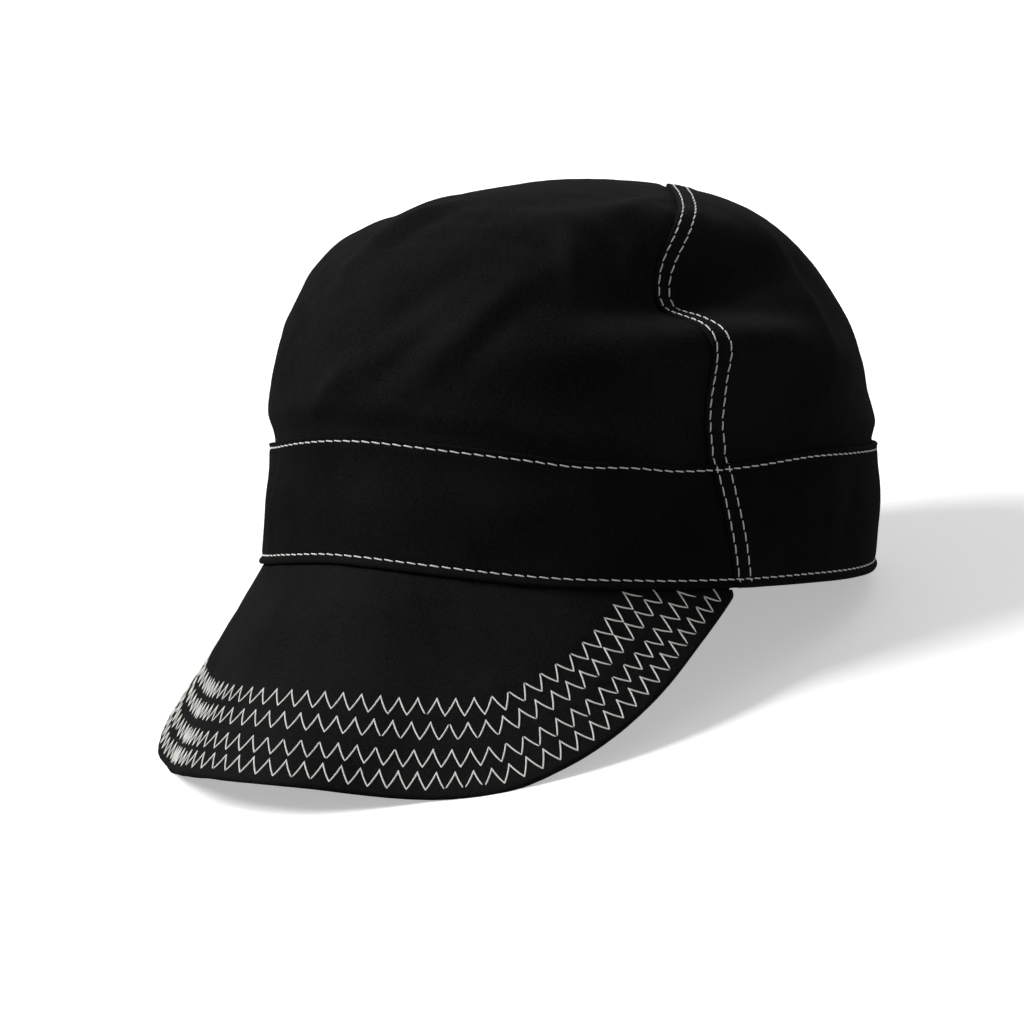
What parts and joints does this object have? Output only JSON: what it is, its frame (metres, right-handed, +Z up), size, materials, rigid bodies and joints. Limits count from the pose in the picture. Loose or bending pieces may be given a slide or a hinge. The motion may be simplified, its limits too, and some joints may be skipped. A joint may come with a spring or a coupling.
{
  "type": "welding cap",
  "caption": "Soft black welder's cap: full folded crown on a deep stitched band, with a short drooping peak; hollow where the head goes in.",
  "frame": {"origin": "middle of the cap's footprint on the surface that it rests on", "axes": "+Z up, -Y towards the peak, +X towards the wearer's left"},
  "size_m": [0.1844, 0.2706, 0.1501],
  "materials": {
    "crown_twill": "matt black cotton twill",
    "band_twill": "matt black cotton twill, folded double",
    "peak_twill": "matt black cotton twill, stiffened with rows of stitching",
    "thread": "off-white polyester thread"
  },
  "bodies": {
    "root": {"crown_front": "crown_twill", "crown_rear_left": "crown_twill", "crown_rear_right": "crown_twill", "band_front": "band_twill", "band_rear_left": "band_twill", "band_rear_right": "band_twill", "peak": "peak_twill"}
  },
  "joints": []
}
